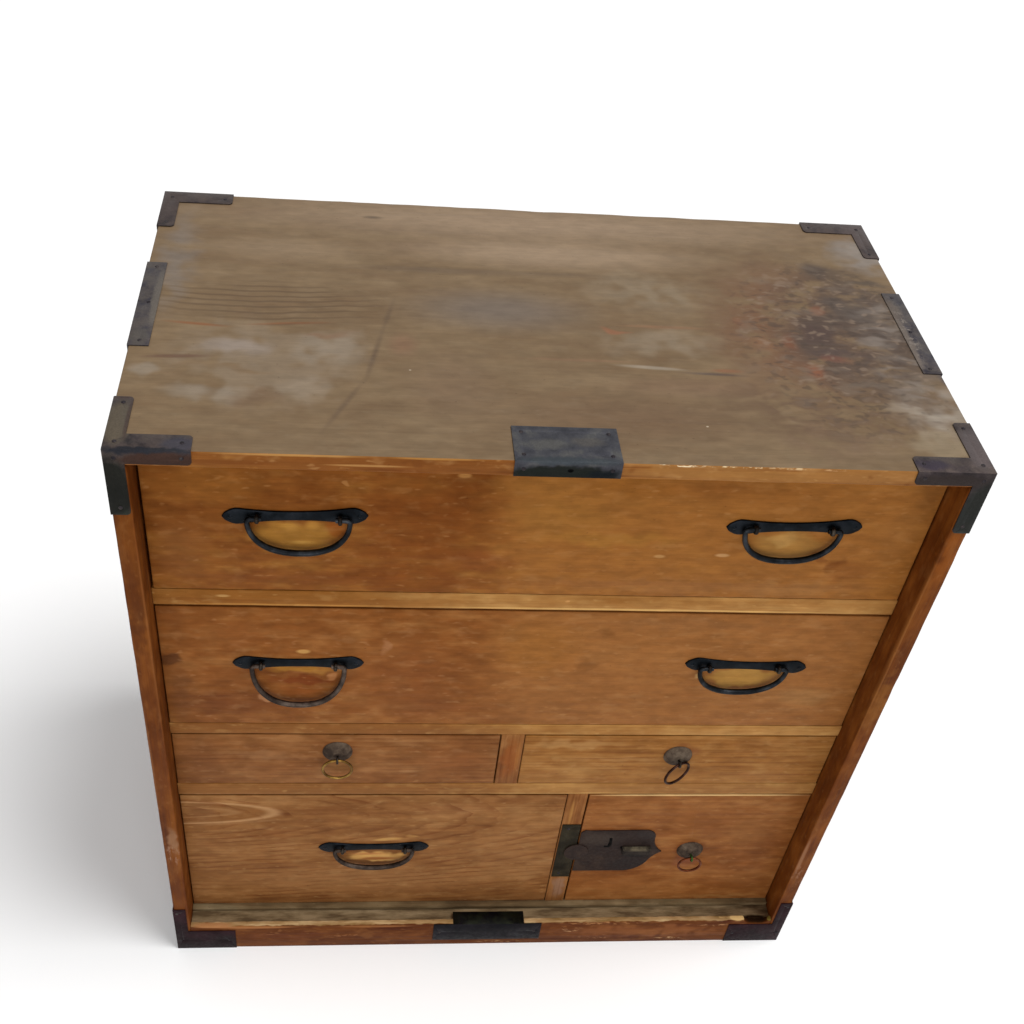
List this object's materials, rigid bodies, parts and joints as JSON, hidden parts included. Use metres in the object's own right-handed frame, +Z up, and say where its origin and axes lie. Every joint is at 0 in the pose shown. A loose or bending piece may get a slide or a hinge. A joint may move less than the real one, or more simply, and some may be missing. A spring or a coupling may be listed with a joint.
{
  "type": "isho clothing chest",
  "caption": "Wooden clothing chest with wide and narrow drawers, iron corner fittings, bail and ring pulls, a side-throwing lock and side carrying handles; lift-out front panel absent.",
  "frame": {"origin": "on the floor under the centre of the case", "axes": "+X to the right seen from the front, +Y to the back, +Z up; the drawers open towards -Y"},
  "size_m": [0.795, 0.4282, 0.7906],
  "materials": {
    "top_wood": "weathered grey-brown top, worn dull",
    "case_wood": "red-brown stained softwood, worn satin",
    "drawer_front_wood": "warm orange-brown aged softwood, hand-worn satin",
    "inner_wood": "unfinished aged softwood, matte",
    "sheet_iron": "blackened sheet iron, dull with rust",
    "forged_iron": "blackened forged iron, satin",
    "aged_copper": "dark bronze-brown copper alloy with verdigris",
    "aged_brass": "dull aged brass"
  },
  "bodies": {
    "case": {"top_board": "top_wood", "left_side_board": "case_wood", "right_side_board": "case_wood", "bottom_board": "inner_wood", "back_foot_rail": "inner_wood", "sill_rail": "case_wood", "back_planks": "inner_wood", "lower_rail": "case_wood", "middle_rail": "case_wood", "upper_rail": "case_wood", "lower_shelf": "inner_wood", "middle_shelf": "inner_wood", "upper_shelf": "inner_wood", "upper_divider": "case_wood", "lower_divider": "case_wood", "top_front_corner_irons": "sheet_iron", "top_back_corner_irons": "sheet_iron", "foot_corner_irons": "sheet_iron", "top_edge_straps": "sheet_iron", "top_centre_plate": "sheet_iron", "sill_plate": "sheet_iron", "keeper_plate": "sheet_iron", "iron_nails": "forged_iron", "carrying_handle_mounts": "forged_iron"},
    "top_drawer": {"top_drawer_front": "drawer_front_wood", "top_drawer_walls": "inner_wood", "top_drawer_bottom": "inner_wood", "top_drawer_handle_mounts": "forged_iron"},
    "second_drawer": {"second_drawer_front": "drawer_front_wood", "second_drawer_walls": "inner_wood", "second_drawer_bottom": "inner_wood", "second_drawer_handle_mounts": "forged_iron"},
    "left_small_drawer": {"left_small_drawer_front": "drawer_front_wood", "left_small_drawer_walls": "inner_wood", "left_small_drawer_bottom": "inner_wood", "left_small_drawer_ring_mount": "aged_copper"},
    "right_small_drawer": {"right_small_drawer_front": "drawer_front_wood", "right_small_drawer_walls": "inner_wood", "right_small_drawer_bottom": "inner_wood", "right_small_drawer_ring_mount": "aged_copper"},
    "lower_left_drawer": {"lower_left_drawer_front": "drawer_front_wood", "lower_left_drawer_walls": "inner_wood", "lower_left_drawer_bottom": "inner_wood", "lower_left_drawer_handle_mounts": "forged_iron"},
    "locking_drawer": {"locking_drawer_front": "drawer_front_wood", "locking_drawer_walls": "inner_wood", "locking_drawer_bottom": "inner_wood", "locking_drawer_ring_mount": "aged_copper", "lock_plate": "sheet_iron"},
    "top_left_bail": {"top_left_bail": "forged_iron"},
    "top_right_bail": {"top_right_bail": "forged_iron"},
    "second_left_bail": {"second_left_bail": "forged_iron"},
    "second_right_bail": {"second_right_bail": "forged_iron"},
    "lower_left_bail": {"lower_left_bail": "forged_iron"},
    "left_small_drawer_ring": {"left_small_drawer_ring": "aged_brass"},
    "right_small_drawer_ring": {"right_small_drawer_ring": "aged_copper"},
    "locking_drawer_ring": {"locking_drawer_ring": "aged_copper"},
    "lock_bolt": {"lock_bolt": "forged_iron"},
    "left_carrying_handle": {"left_carrying_handle": "forged_iron"},
    "right_carrying_handle": {"right_carrying_handle": "forged_iron"}
  },
  "joints": [
    {"name": "top_drawer_slide", "type": "slide", "parent": "case", "child": "top_drawer", "axis": [0, -1, 0], "range_m": [0, 0.3]},
    {"name": "second_drawer_slide", "type": "slide", "parent": "case", "child": "second_drawer", "axis": [0, -1, 0], "range_m": [0, 0.3]},
    {"name": "left_small_drawer_slide", "type": "slide", "parent": "case", "child": "left_small_drawer", "axis": [0, -1, 0], "range_m": [0, 0.3]},
    {"name": "right_small_drawer_slide", "type": "slide", "parent": "case", "child": "right_small_drawer", "axis": [0, -1, 0], "range_m": [0, 0.3]},
    {"name": "lower_left_drawer_slide", "type": "slide", "parent": "case", "child": "lower_left_drawer", "axis": [0, -1, 0], "range_m": [0, 0.3]},
    {"name": "locking_drawer_slide", "type": "slide", "parent": "case", "child": "locking_drawer", "axis": [0, -1, 0], "range_m": [0, 0.3]},
    {"name": "top_left_bail_hinge", "type": "hinge", "parent": "top_drawer", "child": "top_left_bail", "pos_m": [-0.227, -0.1875, 0.694], "axis": [-1, 0, 0], "range_deg": [0, 95]},
    {"name": "top_right_bail_hinge", "type": "hinge", "parent": "top_drawer", "child": "top_right_bail", "pos_m": [0.23, -0.1875, 0.694], "axis": [-1, 0, 0], "range_deg": [0, 95]},
    {"name": "second_left_bail_hinge", "type": "hinge", "parent": "second_drawer", "child": "second_left_bail", "pos_m": [-0.227, -0.1875, 0.4975], "axis": [-1, 0, 0], "range_deg": [0, 95]},
    {"name": "second_right_bail_hinge", "type": "hinge", "parent": "second_drawer", "child": "second_right_bail", "pos_m": [0.229, -0.1875, 0.5], "axis": [-1, 0, 0], "range_deg": [0, 95]},
    {"name": "lower_left_bail_hinge", "type": "hinge", "parent": "lower_left_drawer", "child": "lower_left_bail", "pos_m": [-0.144, -0.1875, 0.172], "axis": [-1, 0, 0], "range_deg": [0, 95]},
    {"name": "left_small_drawer_ring_hinge", "type": "hinge", "parent": "left_small_drawer", "child": "left_small_drawer_ring", "pos_m": [-0.1875, -0.194, 0.3535], "axis": [-1, 0, 0], "range_deg": [0, 85]},
    {"name": "right_small_drawer_ring_hinge", "type": "hinge", "parent": "right_small_drawer", "child": "right_small_drawer_ring", "pos_m": [0.187, -0.194, 0.3475], "axis": [-0.891, -0.454, 0], "range_deg": [0, 85]},
    {"name": "locking_drawer_ring_hinge", "type": "hinge", "parent": "locking_drawer", "child": "locking_drawer_ring", "pos_m": [0.238, -0.194, 0.161], "axis": [-1, 0, 0], "range_deg": [0, 85]},
    {"name": "lock_bolt_slide", "type": "slide", "parent": "locking_drawer", "child": "lock_bolt", "axis": [-1, 0, 0], "range_m": [0, 0.012]},
    {"name": "left_carrying_handle_hinge", "type": "hinge", "parent": "case", "child": "left_carrying_handle", "pos_m": [-0.389, 0, 0.722], "axis": [0, 1, 0], "range_deg": [0, 180]},
    {"name": "right_carrying_handle_hinge", "type": "hinge", "parent": "case", "child": "right_carrying_handle", "pos_m": [0.389, 0, 0.722], "axis": [0, -1, 0], "range_deg": [0, 180]}
  ]
}
